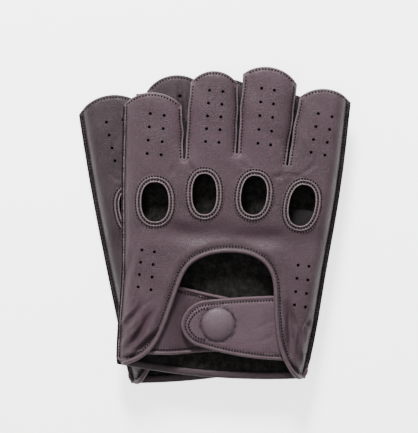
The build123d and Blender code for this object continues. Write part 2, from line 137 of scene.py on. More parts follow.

# Each hand is drawn as a left one. A side is (y, x) knots. A fingertip is the start, top and end of an arc. A
# knuckle hole is x, y, half width, half length and lean. A row of perforations is its first and last centre and
# its count. folds_to is how far up each finger gap the folded leather reaches. The last three keys set how much
# the side edges are rubbed light, how wide the thumb side's band of painted shade is, and how much painted shade
# lies over the whole glove. The right glove lies under the left one, so as painted shade its edges are kept dim
# and its leather darker.
HANDS = {
    "left": {
        "little_side": [(-83.5, -53.5), (-69.0, -54.0), (-44.0, -54.2), (-4.4, -56.9), (43.4, -59.6)],
        "thumb_side": [(-84.0, 42.9), (-66.7, 45.4), (-36.4, 48.2), (2.2, 52.0), (53.4, 54.4)],
        "tips": [
            ((-59.6, 43.4), (-44.3, 50.5), (-30.4, 45.1)),
            ((-26.5, 57.1), (-13.4, 63.6), (-3.0, 57.9)),
            ((-0.4, 63.9), (11.6, 67.8), (26.4, 60.7)),
            ((28.6, 54.2), (41.1, 59.0), (54.4, 53.4)),
        ],
        "valleys": [(-26.9, 18.1), (-0.8, 22.8), (24.6, 18.7)],
        "knuckles": {
            "little": (-39.8, -4.0, 6.9, 9.9, 4.4),
            "ring": (-15.5, 1.8, 6.1, 10.2, 4.4),
            "middle": (9.2, 3.1, 6.4, 9.8, -2.5),
            "index": (33.5, -0.1, 6.5, 10.4, -6.5),
        },
        "finger_holes": [
            ((-45.5, 39.8), (-45.5, 19.8), 4),
            ((-38.5, 39.4), (-38.5, 19.6), 4),
            ((-16.9, 53.6), (-16.9, 28.0), 5),
            ((-10.2, 53.6), (-10.2, 28.0), 5),
            ((9.0, 56.7), (9.2, 29.1), 5),
            ((15.4, 56.2), (15.6, 28.8), 5),
            ((38.2, 46.2), (36.0, 26.6), 4),
            ((45.1, 45.2), (43.0, 25.8), 4),
        ],
        "lobe_holes": [
            ((-44.5, -28.4), (-44.9, -47.0), 4),
            ((-38.2, -28.9), (-38.4, -47.9), 4),
            ((33.9, -30.0), (33.6, -49.9), 4),
            ((39.3, -30.2), (39.1, -50.6), 4),
        ],
        "wrist": -86.8,
        "folds_to": (38.0, 50.0, 47.5),
        "thumb_root": ((43.6, -38.0), (46.6, -4.0)),
        "own_creases": [],
        "edge_light": 0.9,
        "painted_shade_band": 1.25,
        "shade": 0.0,
        "mirror": 1,
    },
    "right": {
        "little_side": [(-83.5, -47.2), (-40.0, -52.0), (10.0, -61.5), (42.4, -68.2)],
        "thumb_side": [(-84.0, 43.0), (-52.0, 45.2), (-12.0, 47.9), (19.0, 49.5), (52.9, 50.4)],
        "tips": [
            ((-68.2, 42.4), (-54.2, 49.0), (-40.2, 43.6)),
            ((-37.6, 55.0), (-25.4, 60.5), (-14.4, 56.4)),
            ((-12.6, 60.6), (2.2, 65.9), (14.0, 60.2)),
            ((19.8, 55.4), (32.3, 60.3), (50.4, 52.9)),
        ],
        "valleys": [(-32.5, 17.6), (-6.6, 22.2), (19.0, 18.2)],
        "knuckles": {
            "little": (-42.4, -4.0, 6.9, 9.9, 6.0),
            "ring": (-18.8, 1.8, 6.1, 10.2, 6.0),
            "middle": (5.6, 3.1, 6.4, 9.8, -1.0),
            "index": (29.4, 1.0, 6.5, 10.4, -3.0),
        },
        "finger_holes": [
            ((-53.5, 38.0), (-50.5, 19.0), 4),
            ((-46.5, 37.6), (-43.8, 18.8), 4),
            ((-28.5, 51.0), (-23.5, 27.0), 5),
            ((-21.8, 51.0), (-17.0, 27.0), 5),
            ((-2.0, 55.0), (2.4, 28.5), 5),
            ((4.8, 55.0), (8.8, 28.5), 5),
            ((28.2, 46.9), (27.4, 26.9), 4),
            ((36.7, 46.8), (35.0, 26.8), 4),
        ],
        "lobe_holes": [
            ((-41.5, -28.4), (-40.9, -47.0), 4),
            ((-35.2, -28.9), (-34.9, -47.9), 4),
            ((32.4, -30.0), (32.1, -49.9), 4),
            ((37.8, -30.2), (37.6, -50.6), 4),
        ],
        "wrist": -86.6,
        "folds_to": (41.5, 53.5, 59.5),
        "thumb_root": ((41.6, -38.0), (43.7, -4.0)),
        "own_creases": [((-3.0, 62.5), (-1.5, 24.0), 1.3, 1.1)],
        # kept low on the right glove as painted shade
        "edge_light": 0.15,
        "painted_shade_band": 0.9,
        # painted shade over the whole right glove, which lies under the left one
        "shade": 0.48,
        "mirror": -1,
    },
}

# Soft creases pressed into the back: from, to, depth, half width. A negative depth is a raised fold.
CREASES = [
    ((-52.5, -77.0), (-43.0, -52.0), 1.1, 1.3),
    ((-50.0, -80.5), (-36.5, -59.5), 1.4, 1.5),
    ((-46.0, -83.5), (-32.0, -66.0), 1.3, 1.3),
    ((-43.5, -71.0), (-38.5, -62.0), 0.6, 0.8),
    ((-50.5, -67.5), (-45.0, -57.5), 0.7, 0.6),
    ((-52.5, -70.5), (-41.5, -52.5), 0.8, 0.6),
    ((-48.5, -78.0), (-34.5, -57.0), 0.9, 0.7),
    ((-46.5, -64.0), (-37.5, -50.5), 0.7, 0.6),
    ((-50.0, -60.5), (-44.0, -49.5), 0.6, 0.6),
    ((-51.5, -74.5), (-46.5, -66.5), 0.8, 0.5),
    ((-47.0, -72.0), (-40.0, -60.5), 0.6, 0.5),
    ((-44.5, -79.5), (-35.5, -70.5), 0.6, 0.5),
    ((-49.0, -85.0), (-43.0, -81.5), 0.5, 0.5),
    ((30.5, -53.0), (33.5, -68.0), 0.9, 0.7),
    ((34.0, -55.0), (37.5, -72.0), 0.9, 0.6),
    ((40.5, -56.0), (42.6, -72.0), 0.8, 0.6),
    ((-51.5, -84.5), (-41.0, -79.0), 0.7, 0.9),
    ((-52.0, -52.0), (-49.5, -24.0), 0.7, 1.6),
    ((28.6, -48.0), (35.4, -76.0), 1.8, 1.9),
    ((36.6, -60.0), (39.0, -80.0), 1.3, 1.1),
    ((37.0, -66.0), (42.0, -78.5), -0.8, 0.7),
    ((42.8, -52.0), (39.4, -68.0), 0.9, 1.0),
    ((32.0, -76.0), (37.4, -84.5), 0.9, 0.8),
    ((-24.0, 17.5), (-20.0, 8.5), 0.6, 1.3),
    ((-30.0, 16.0), (-34.0, 9.5), 0.5, 1.2),
    ((1.5, 21.0), (3.2, 14.5), 0.5, 1.3),
    ((26.6, 16.0), (32.0, 12.0), 0.6, 1.1),
    ((22.5, 15.5), (18.2, 11.5), 0.5, 1.2),
    ((-31.0, -16.0), (-10.0, -20.5), 0.7, 3.0),
    ((0.0, -18.0), (27.0, -17.5), 0.6, 3.0),
    ((40.0, 22.0), (30.5, 15.5), 0.35, 0.9),
    ((33.0, 40.0), (36.5, 28.0), 0.3, 1.2),
]


# ---------------------------------------------------------------- curves
def smooth_values(knots, values, at):
    """A natural cubic through values at knots, read at any places."""
    knots, values = np.asarray(knots, float), np.asarray(values, float)
    n = len(knots)
    gaps = np.diff(knots)
    matrix, right = np.eye(n), np.zeros(n)
    for i in range(1, n - 1):
        matrix[i, i - 1 : i + 2] = gaps[i - 1], 2 * (gaps[i - 1] + gaps[i]), gaps[i]
        right[i] = 6 * ((values[i + 1] - values[i]) / gaps[i] - (values[i] - values[i - 1]) / gaps[i - 1])
    bend = np.linalg.solve(matrix, right)
    i = np.clip(np.searchsorted(knots, at) - 1, 0, n - 2)
    a, b = (knots[i + 1] - at) / gaps[i], (at - knots[i]) / gaps[i]
    curve = (a**3 - a) * bend[i] + (b**3 - b) * bend[i + 1]
    return a * values[i] + b * values[i + 1] + curve * gaps[i] ** 2 / 6


def along_line(points):
    """How far each point is along its line."""
    return np.concatenate([[0], np.cumsum(np.linalg.norm(np.diff(points, axis=0), axis=1))])


def read_line(points, at):
    """The places on a line at the given lengths along it."""
    along = along_line(points)
    return np.stack([np.interp(at, along, points[:, k]) for k in range(points.shape[1])], axis=1)


def spaced(points, step):
    """The same line with its points about one step apart."""
    points = np.asarray(points, float)
    length = along_line(points)[-1]
    return read_line(points, np.linspace(0, length, max(2, int(round(length / step)) + 1)))


def flowing(points, step):
    """A smooth line through a few points."""
    points = np.asarray(points, float)
    along = along_line(points)
    at = np.linspace(0, along[-1], int(along[-1] / 0.25))
    fine = np.stack([smooth_values(along, points[:, k], at) for k in range(2)], axis=1)
    return spaced(fine, step)


def arc(first, middle, last, step):
    """The circular arc from first over middle to last."""
    (ax, ay), (bx, by), (cx, cy) = first, middle, last
    d = 2 * (ax * (by - cy) + bx * (cy - ay) + cx * (ay - by))
    a2, b2, c2 = ax * ax + ay * ay, bx * bx + by * by, cx * cx + cy * cy
    ux = (a2 * (by - cy) + b2 * (cy - ay) + c2 * (ay - by)) / d
    uy = (a2 * (cx - bx) + b2 * (ax - cx) + c2 * (bx - ax)) / d
    start, turn = math.atan2(ay - uy, ax - ux), 2 * math.pi
    to_middle = (math.atan2(by - uy, bx - ux) - start) % turn
    to_last = (math.atan2(cy - uy, cx - ux) - start) % turn
    sweep = to_last if to_middle < to_last else to_last - turn
    radius = math.hypot(ax - ux, ay - uy)
    angles = start + np.linspace(0, sweep, max(3, int(abs(sweep) * radius / step) + 1))
    return np.stack([ux + radius * np.cos(angles), uy + radius * np.sin(angles)], axis=1)


def ellipse(x, y, half_width, half_length, lean, count, grow=0.0, square=2.35):
    """An ellipse moved out by grow, counter-clockwise. square over 2 fills its corners."""
    angles = np.linspace(0, 2 * math.pi, count, endpoint=False)
    c, s = np.cos(angles), np.sin(angles)
    px, py = np.sign(c) * np.abs(c) ** (2 / square), np.sign(s) * np.abs(s) ** (2 / square)
    nx = np.sign(px) * np.abs(px) ** (square - 1) / half_width
    ny = np.sign(py) * np.abs(py) ** (square - 1) / half_length
    size = np.hypot(nx, ny)
    px, py = px * half_width + grow * nx / size, py * half_length + grow * ny / size
    c, s = math.cos(math.radians(lean)), math.sin(math.radians(lean))
    return spaced_loop(np.stack([x + c * px - s * py, y + s * px + c * py], axis=1), count)


def spaced_loop(loop, count):
    """The same closed loop with its points evenly spaced."""
    closed = np.vstack([loop, loop[:1]])
    return read_line(closed, np.linspace(0, along_line(closed)[-1], count, endpoint=False))


def sideways(line):
    """The unit direction to the left of a line at each of its points."""
    along = np.gradient(np.asarray(line, float), axis=0)
    along /= np.linalg.norm(along, axis=1)[:, None] + 1e-9
    return np.stack([-along[:, 1], along[:, 0]], axis=1)


def beside(line, distance):
    """The line moved to its left by distance."""
    return np.asarray(line, float) + distance * sideways(line)


def distance_to(points, line):
    """How far each point is from a line of points."""
    best = np.full(len(points), 1e9)
    for a, b in zip(line[:-1], line[1:]):
        run = b - a
        t = np.clip(((points - a) @ run) / (run @ run + 1e-12), 0, 1)
        gap = points - (a + t[:, None] * run)
        best = np.minimum(best, np.einsum("ij,ij->i", gap, gap))
    return np.sqrt(best)


def inside(points, loop):
    """Which points lie within a closed loop."""
    x, y = points[:, 0], points[:, 1]
    found = np.zeros(len(points), bool)
    for (ax, ay), (bx, by) in zip(loop, np.roll(loop, -1, axis=0)):
        if ay == by:
            continue
        crosses = (ay > y) != (by > y)
        found ^= crosses & (x < (bx - ax) * (y - ay) / (by - ay) + ax)
    return found


def rounded(t):
    """A quarter-round rise from 0 to 1."""
    t = np.clip(t, 0, 1)
    return np.sqrt(1 - (1 - t) ** 2)


def bell(value, centre, width):
    """A smooth bump of height 1."""
    return np.exp(-(((value - centre) / width) ** 2))


def eased(t):
    """A smooth step from 0 to 1."""
    t = np.clip(t, 0, 1)
    return t * t * (3 - 2 * t)


# ---------------------------------------------------------------- one glove
class Glove:
    """One glove's pattern lines, its soft surface, and where it lies in the frame."""

    def __init__(self, hand, pattern):
        self.hand = hand
        self.p = pattern
        self.mirror = pattern["mirror"]
        self.place()
        self.draw()

    def place(self):
        joint = next(j for j in frame["record"]["behaviour"]["joints"] if j["name"] == f"{self.hand}_strap_hinge")
        axis = np.array(joint["axis"][:2]) * (1 if joint["axis"][1] > 0 else -1)
        fold = np.array([self.mirror * (FOLD_TOP[0] - FOLD_LOW[0]), FOLD_TOP[1] - FOLD_LOW[1]])
        turn = math.atan2(axis[1], axis[0]) - math.atan2(fold[1], fold[0])
        self.cos, self.sin = math.cos(turn), math.sin(turn)
        middle_x = self.mirror * (FOLD_TOP[0] + FOLD_LOW[0]) / 2
        middle_y = (FOLD_TOP[1] + FOLD_LOW[1]) / 2
        pos = np.array(joint["pos_m"]) / MM
        self.x = pos[0] - (self.cos * middle_x - self.sin * middle_y)
        self.y = pos[1] - (self.sin * middle_x + self.cos * middle_y)
        self.z = pos[2] - FOLD_HEIGHT

    def row(self, points):
        """Pattern millimetres to metres in the row frame."""
        points = np.asarray(points, float)
        x, y = self.mirror * points[:, 0], points[:, 1]
        return MM * np.stack(
            [self.x + self.cos * x - self.sin * y, self.y + self.sin * x + self.cos * y, self.z + points[:, 2]],
            axis=1,
        )

    def side(self, which, y):
        rows = self.p[which]
        return smooth_values([r[0] for r in rows], [r[1] for r in rows], y)

    def little(self, y):
        return self.side("little_side", y)

    def thumb(self, y):
        return self.side("thumb_side", y)

    def draw(self):
        """The pattern's seam lines. Each runs with the leather on its right."""
        step = ARC_STEP
        tips, valleys = self.p["tips"], self.p["valleys"]
        up = np.arange(self.p["little_side"][0][0], tips[0][0][1], step)
        self.little_line = np.vstack([np.stack([self.little(up), up], axis=1), [tips[0][0]]])
        down = np.arange(tips[3][2][1], self.p["thumb_side"][0][0], -step)
        self.thumb_line = np.stack([self.thumb(down), down], axis=1)
        self.thumb_line[0] = tips[3][2]
        self.thumb_seam = self.thumb_line[self.thumb_line[:, 1] > -79.5]
        self.tip_lines = [arc(a, b, c, step) for a, b, c in tips]
        self.gap_lines = []
        for finger, following, (x, y) in zip(tips, tips[1:], valleys):
            left = self.bowed(finger[2], (x - 0.7, y + 0.8), step)
            right = self.bowed((x + 0.7, y + 0.8), following[0], step)
            self.gap_lines.append(np.vstack([left, [(x, y)], right]))
        self.edge_line = flowing(WRIST_EDGE, step)[::-1]
        self.outline = self.joined([self.little_line, *self.fingers(), self.thumb_seam, self.edge_line])
        wrist = self.p["wrist"]
        first, last = (self.thumb(-84.0) - 0.6, wrist), (self.little(-83.6) + 0.6, wrist)
        self.hem_line = arc(first, (-6, wrist - 3), last, step)
        self.palm_outline = self.joined([self.little_line, *self.fingers(), self.thumb_line, self.hem_line])

    def bowed(self, a, b, step):
        """A nearly straight seam with the slight wander of a sewn edge."""
        a, b = np.asarray(a, float), np.asarray(b, float)
        run = b - a
        t = np.linspace(0, 1, max(3, int(np.linalg.norm(run) / step) + 1))
        side = np.array([-run[1], run[0]]) / np.linalg.norm(run)
        wander = 0.40 * np.sin(math.pi * t) + 0.20 * np.sin(4.3 * math.pi * t + a[0])
        return a + t[:, None] * run + (wander * np.sin(math.pi * t))[:, None] * side

    def fingers(self):
        lines = []
        for i, tip in enumerate(self.tip_lines):
            lines.append(tip)
            if i < 3:
                lines.append(self.gap_lines[i])
        return lines

    def joined(self, lines):
        points = [np.asarray(lines[0], float)[0]]
        for line in lines:
            for point in np.asarray(line, float):
                if np.linalg.norm(point - points[-1]) > 0.25:
                    points.append(point)
        if np.linalg.norm(points[0] - points[-1]) < 0.25:
            points.pop()
        return np.array(points)

    def sides(self, y):
        """Where the two side seams are, level with each y."""
        at = np.clip(y, LOW_END, HIGH_END)
        return self.little(np.clip(at, None, 43)), self.thumb(at)

    def seam_distance(self, points):
        """How far each point is from the finger gaps, the fingertips, and the wrist opening."""
        gaps = np.min([distance_to(points, line) for line in self.gap_lines], axis=0)
        tips = np.min([distance_to(points, line) for line in self.tip_lines], axis=0)
        return gaps, tips, distance_to(points, self.edge_line)

    def top(self, points, plain=False):
        """Height of the soft back over the palm's underside, with its seams, folds and creases."""
        points = np.asarray(points, float)[:, :2]
        x, y = points[:, 0], points[:, 1]
        little, thumb = self.sides(y)
        middle, half = (little + thumb) / 2, (thumb - little) / 2
        u = (x - middle) / half
        gaps, tips, opening = self.seam_distance(points)
        crown = CROWN_HEIGHT - 1.1 * u**2
        # Lower to the fingertips, full over the knuckles, sunk behind them, lower again at the wrist.
        crown -= 2.4 * np.clip((y - 8) / 58, 0, 1.3) ** 2
        crown += 0.5 * bell(y, 2, 13) - 1.5 * bell(y, -18, 6.5) * (1 - 0.5 * u**2)
        crown -= 1.4 * np.clip((-52 - y) / 34, 0, 1.1) ** 2
        # Puffed behind the opening's strip, rounded down to the finger gaps and the fingertips.
        crown += 0.45 * bell(opening, 4.6, 1.9)
        crown -= 3.0 * (1 - rounded((gaps - 0.9) / 9.0)) * eased((y - 15) / 17)
        crown -= 1.1 * (1 - rounded(tips / 5.0))
        # The back turns down to the sewn side edges.
        from_little, from_thumb = x - little, thumb - x
        height = FLANGE_HEIGHT + (crown - FLANGE_HEIGHT) * rounded((from_little - 1.9) / 13)
        height = np.minimum(height, FLANGE_HEIGHT + (crown - FLANGE_HEIGHT) * rounded((from_thumb - 2.3) / 6.2))
        if plain:
            return height
        # Stitches pull the seams in, and the leather has creases and slow waves.
        seam = np.minimum(np.minimum(gaps, tips), np.minimum(from_little, from_thumb))
        height -= 0.34 * bell(seam, SEAM_IN, 0.42)
        height += 0.10 * bell(seam, 0.35, 0.45)
        height -= 0.40 * bell(opening, OPENING_STITCHES, 0.45)
        for start, end, depth, width in CREASES + self.p["own_creases"]:
            height -= depth * self.crease(points, start, end, width)
        height += 0.24 * np.sin(x / 5.1 + 0.7 * np.sin(y / 9.0)) * np.sin(y / 6.7 + 1.3)
        return height + 0.12 * np.sin((x + 1.7 * y) / 4.3 + 0.5)

    def crease(self, points, start, end, width):
        """A groove from start to end with a low ridge on each side, fading at its ends."""
        a, b = np.array(start), np.array(end)
        run = (b - a) / np.linalg.norm(b - a)
        along = (points - a) @ run / np.linalg.norm(b - a)
        across = (points - a) @ np.array([-run[1], run[0]])
        across = across + 0.9 * np.sin(along * 4.0 + start[0])
        fade = np.sin(math.pi * np.clip(along, 0, 1)) ** 0.7
        return fade * (bell(across, 0, width) - 0.55 * bell(np.abs(across), 2.1 * width, 0.9 * width))


gloves = {hand: Glove(hand, pattern) for hand, pattern in HANDS.items()}


# ---------------------------------------------------------------- meshes
def new_piece(name, glove, points, faces, materials, face_material=None, marks=None):
    """A mesh piece from pattern points, smooth shaded, with named marks on its points."""
    if glove.mirror < 0:
        faces = [face[::-1] for face in faces]
    mesh = bpy.data.meshes.new(name)
    mesh.from_pydata([tuple(p) for p in glove.row(points)], [], [tuple(int(i) for i in f) for f in faces])
    for material in materials:
        mesh.materials.append(material)
    if face_material is not None:
        mesh.polygons.foreach_set("material_index", np.asarray(face_material, np.int32))
    for key, values in (marks or {}).items():
        layer = mesh.attributes.new(key, "FLOAT", "POINT")
        layer.data.foreach_set("value", np.asarray(values, np.float32))
    mesh.polygons.foreach_set("use_smooth", np.ones(len(mesh.polygons), bool))
    mesh.validate()
    mesh.update()
    piece = bpy.data.objects.new(name, mesh)
    bpy.context.collection.objects.link(piece)
    return piece


def triangles(outline, holes, inner):
    """Points and triangles of a flat panel with holes, counter-clockwise."""
    loops = [outline, *holes]
    points = np.vstack([*loops, inner])
    edges, n = [], 0
    for loop in loops:
        edges += [(n + i, n + (i + 1) % len(loop)) for i in range(len(loop))]
        n += len(loop)
    found = delaunay_2d_cdt([Vector(p) for p in points], edges, [], 0, 1e-6)
    flat = np.array([tuple(v) for v in found[0]])
    faces = np.array(found[2])
    centre = flat[faces].mean(axis=1)
    keep = inside(centre, outline)
    for hole in holes:
        keep &= ~inside(centre, hole)
    faces = faces[keep]
    a, b, c = (flat[faces[:, i]] for i in range(3))
    turned = (b[:, 0] - a[:, 0]) * (c[:, 1] - a[:, 1]) - (b[:, 1] - a[:, 1]) * (c[:, 0] - a[:, 0]) < 0
    faces[turned] = faces[turned][:, ::-1]
    return flat, faces


def spread(outline, holes, rows, step, margin):
    """Even inner points for a panel, with rows of points kept beside its seams."""
    low, high = outline.min(axis=0), outline.max(axis=0)
    xs = np.arange(low[0], high[0], step)
    ys = np.arange(low[1], high[1], step * 0.866)
    grid = np.array([(x + (j % 2) * step / 2, y) for j, y in enumerate(ys) for x in xs])
    grid = grid[inside(grid, outline)]
    closed = np.vstack([outline, outline[:1]])
    grid = grid[distance_to(grid, closed) > margin]
    kept = [row[inside(row, outline)] for row in rows]
    kept = [row[distance_to(row, closed) > 0.5] for row in kept]
    extra = thinned(np.vstack(kept), 0.5) if kept else np.zeros((0, 2))
    inner = np.vstack([grid, extra])
    for hole in holes:
        ring = np.vstack([hole, hole[:1]])
        near = np.linalg.norm(inner - hole.mean(axis=0), axis=1) < np.ptp(hole, axis=0).max() + 2
        clear = np.ones(len(inner), bool)
        clear[near] = ~inside(inner[near], hole) & (distance_to(inner[near], ring) > 0.42)
        inner = inner[clear]
    return inner


def thinned(points, gap):
    """Drops points that crowd an earlier one."""
    cells, kept = set(), []
    for point in points:
        key = (int(point[0] // gap), int(point[1] // gap))
        if key not in cells:
            cells.add(key)
            kept.append(point)
    return np.array(kept)


def border(faces):
    """The edges that only one triangle uses, in its own direction."""
    seen = {}
    for a, b, c in faces:
        for edge in ((a, b), (b, c), (c, a)):
            if (edge[1], edge[0]) in seen:
                del seen[(edge[1], edge[0])]
            else:
                seen[edge] = True
    return list(seen)


def shell(flat, faces, top, under):
    """A closed sheet between two height lists, its cut edge a little bulged."""
    n = len(flat)
    rim = border(faces)
    points = [np.column_stack([flat, top]), np.column_stack([flat, under])]
    all_faces = [tuple(f) for f in faces] + [(c + n, b + n, a + n) for a, b, c in faces]
    kinds = [0] * len(faces) + [1] * len(faces)
    outward, middle = {}, {}
    for a, b in rim:
        run = flat[b] - flat[a]
        side = np.array([run[1], -run[0]]) / (np.linalg.norm(run) + 1e-9)
        for i in (a, b):
            outward[i] = outward.get(i, np.zeros(2)) + side
    extra = []
    for i, side in outward.items():
        side = side / (np.linalg.norm(side) + 1e-9)
        middle[i] = 2 * n + len(extra)
        extra.append([*(flat[i] + 0.13 * side), (top[i] + under[i]) / 2])
    for a, b in rim:
        all_faces += [(a, middle[a], middle[b], b), (middle[a], a + n, b + n, middle[b])]
        kinds += [2, 2]
    points.append(np.array(extra))
    return np.vstack(points), all_faces, kinds, list(outward)


def on_shell(values, rim):
    """A sheet's point values for its shell: top, underside and bulged edge."""
    return np.concatenate([values, values, values[rim]])


def area(loop):
    """The area within a closed loop, negative if it runs clockwise."""
    x, y = loop[:, 0], loop[:, 1]
    return 0.5 * np.sum(x * np.roll(y, -1) - np.roll(x, -1) * y)


def plain_sheet(outline, rows, step, margin):
    """Points and triangles of a flat sheet with no holes."""
    outline = outline[::-1] if area(outline) < 0 else outline
    return triangles(outline, [], spread(outline, [], rows, step, margin))


def loft(rings, loop=False, cap=True):
    """Quads along a row of rings of points, each ring closed on itself."""
    n, m = len(rings), len(rings[0])
    points = np.vstack(rings)
    faces = []
    for i in range(n if loop else n - 1):
        j = (i + 1) % n
        for k in range(m):
            q = (k + 1) % m
            faces.append((i * m + k, i * m + q, j * m + q, j * m + k))
    if cap and not loop:
        faces += [tuple(range(m))[::-1], tuple((n - 1) * m + k for k in range(m))]
    return points, faces


def roll(line, heights, half_width, half_height, sides, ripple):
    """A rolled strip along a line, a flattened tube with faint gathers."""
    line = np.asarray(line, float)
    rings = []
    for i, (point, across, height) in enumerate(zip(line, sideways(line), heights)):
        grown = 1 + ripple * (math.sin(i * 0.9) + 0.6 * math.sin(i * 2.3 + 1))
        if i in (0, len(line) - 1):
            grown *= 0.72
        ring = []
        for k in range(sides):
            angle = -2 * math.pi * k / sides
            c, s = math.cos(angle), math.sin(angle)
            flat = point + across * half_width * grown * math.copysign(abs(c) ** 0.85, c)
            ring.append([*flat, height + half_height * grown * math.copysign(abs(s) ** 0.85, s)])
        rings.append(ring)
    return loft(rings)


def stitch_marks(line, pitch, start):
    """Places and directions of stitches along a flat line."""
    line = np.asarray(line, float)
    length = along_line(line)[-1] - 2 * start
    count = max(1, int(length / pitch))
    at = start + (np.arange(count) + 0.5) * length / count
    run = read_line(line, at + 0.3) - read_line(line, at - 0.3)
    return read_line(line, at), run / (np.linalg.norm(run, axis=1)[:, None] + 1e-9)


# Along the stitch, thickness, rise.
STITCH_RINGS = (
    (-0.5, 0.0, -0.30),
    (-0.40, 0.75, -0.08),
    (0.0, 1.0, 0.06),
    (0.40, 0.75, -0.08),
    (0.5, 0.0, -0.30),
)


def stitches(rows, height, length=0.92, thick=0.42, pitch=1.52, start=0.3):
    """Short plump threads along flat rows, their ends drawn down into the leather."""
    points, faces = [], []
    for row in rows:
        places, runs = stitch_marks(row, pitch, start)
        levels = height(places)
        ahead = height(places + 0.4 * runs)
        behind = height(places - 0.4 * runs)
        for place, run, level, front, back in zip(places, runs, levels, ahead, behind):
            slope = np.clip((front - back) / 0.8, -1.2, 1.2)
            side = np.array([-run[1], run[0]])
            first = len(points)
            for along, size, rise in STITCH_RINGS:
                centre = place + run * along * length
                z = level + slope * along * length + rise
                if size == 0:
                    points.append([*centre, z])
                    continue
                for k in range(6):
                    angle = -math.pi * k / 3
                    flat = centre + side * thick * size * math.cos(angle)
                    points.append([*flat, z + thick * size * math.sin(angle)])
            starts = (first + 1, first + 7, first + 13)
            for k in range(6):
                q = (k + 1) % 6
                faces.append((first, starts[0] + q, starts[0] + k))
                faces.append((starts[0] + k, starts[0] + q, starts[1] + q, starts[1] + k))
                faces.append((starts[1] + k, starts[1] + q, starts[2] + q, starts[2] + k))
                faces.append((starts[2] + k, starts[2] + q, first + 19))
    return np.array(points), faces


# ---------------------------------------------------------------- materials
class Wire:
    """A shader socket that adds Math nodes when it is used in sums."""

    def __init__(self, nodes, socket):
        self.nodes, self.socket = nodes, socket

    def _join(self, operation, a, b):
        return self.nodes.add("ShaderNodeMath", {"operation": operation}, {0: a, 1: b})

    def __add__(self, other):
        return self._join("ADD", self, other)

    def __radd__(self, other):
        return self._join("ADD", other, self)

    def __sub__(self, other):
        return self._join("SUBTRACT", self, other)

    def __rsub__(self, other):
        return self._join("SUBTRACT", other, self)

    def __mul__(self, other):
        return self._join("MULTIPLY", self, other)

    def __rmul__(self, other):
        return self._join("MULTIPLY", other, self)


class Nodes:
    """One material's node tree."""

    def __init__(self, name, **fixed):
        self.material = bpy.data.materials.new(name)
        self.material.use_nodes = True
        self.tree = self.material.node_tree
        self.surface = self.tree.nodes["Principled BSDF"]
        for key, value in fixed.items():
            self.surface.inputs[key.replace("_", " ")].default_value = value

    def add(self, kind, settings, sockets, output=0):
        node = self.tree.nodes.new(kind)
        for key, value in settings.items():
            if key == "stops":
                ramp = node.color_ramp
                while len(ramp.elements) < len(value):
                    ramp.elements.new(0.5)
                for element, (place, shade) in zip(ramp.elements, value):
                    element.position = place
                    element.color = (*shade, 1) if isinstance(shade, tuple) else (shade, shade, shade, 1)
            else:
                setattr(node, key, value)
        for key, value in sockets.items():
            self.plug(node.inputs[key], value)
        return Wire(self, node.outputs[output])

    def plug(self, socket, value):
        if isinstance(value, Wire):
            self.tree.links.new(value.socket, socket)
        elif isinstance(value, tuple) and len(value) == 3 and socket.type == "RGBA":
            socket.default_value = (*value, 1)
        else:
            socket.default_value = value

    def place(self):
        return self.add("ShaderNodeTexCoord", {}, {}, "Object")

    def mark(self, name):
        return self.add("ShaderNodeAttribute", {"attribute_name": name}, {}, "Fac")

    def noise(self, scale, detail=4.0, rough=0.55, stretch=None):
        where = self.place()
        if stretch:
            where = self.add("ShaderNodeMapping", {}, {"Vector": where, "Scale": stretch})
        return self.add(
            "ShaderNodeTexNoise", {}, {"Vector": where, "Scale": scale, "Detail": detail, "Roughness": rough}
        )

    def cells(self, scale):
        return self.add(
            "ShaderNodeTexVoronoi", {"feature": "DISTANCE_TO_EDGE"}, {"Vector": self.place(), "Scale": scale}
        )

    def span(self, value, low, high, to_low=0.0, to_high=1.0):
        return self.add(
            "ShaderNodeMapRange",
            {"clamp": True},
            {"Value": value, "From Min": low, "From Max": high, "To Min": to_low, "To Max": to_high},
        )

    def mix(self, share, a, b, how="MIX"):
        node = self.tree.nodes.new("ShaderNodeMix")
        node.data_type, node.blend_type = "RGBA", how
        self.plug(node.inputs[0], share)
        self.plug(node.inputs[6], a)
        self.plug(node.inputs[7], b)
        return Wire(self, node.outputs[2])

    def bump(self, height, distance, strength=1.0, normal=None):
        sockets = {"Height": height, "Distance": distance, "Strength": strength}
        if normal:
            sockets["Normal"] = normal
        return self.add("ShaderNodeBump", {}, sockets)

    def finish(self, **sockets):
        for key, value in sockets.items():
            self.plug(self.surface.inputs[key.replace("_", " ")], value)
        return self.material


def leather(name, colour, edge, dark, shine, grain=1.0):
    """Smooth glove leather: fine pebbled grain, faint clouding, light raw edges, dark seams, and the painted
    highlight and painted shade carried by the same marks.
    """
    n = Nodes(name, Specular_IOR_Level=0.27)
    cloud = n.span(n.noise(38, 3), 0.32, 0.70)
    fine = n.span(n.noise(420, 5), 0.30, 0.72)
    pores = n.span(n.cells(1150), 0.0, 0.16)
    base = n.mix(cloud, tuple(c * 0.86 for c in colour), tuple(c * 1.14 for c in colour))
    base = n.mix(fine * 0.35, base, tuple(c * 0.70 for c in colour))
    base = n.mix((1 - pores) * 0.22, base, tuple(c * 0.45 for c in colour))
    rough_edge = n.span(n.noise(900, 4), 0.30, 0.65, 0.55, 1.0)
    # The edge mark lightens raw edges and paints a highlight; the dark mark darkens seams and paints shade.
    base = n.mix(n.mark("edge") * rough_edge, base, edge)
    base = n.mix(n.mark("dark"), base, dark)
    rough = shine + cloud * 0.10 + (1 - pores) * 0.12 + n.mark("edge") * 0.25
    lines = n.span(n.noise(150, 3, 0.6, (1.0, 0.45, 1.0)), 0.35, 0.70)
    relief = pores * 0.5 + fine * 0.35 + lines * 0.6
    return n.finish(Base_Color=base, Roughness=rough, Normal=n.bump(relief, 0.00030 * grain, 0.7))


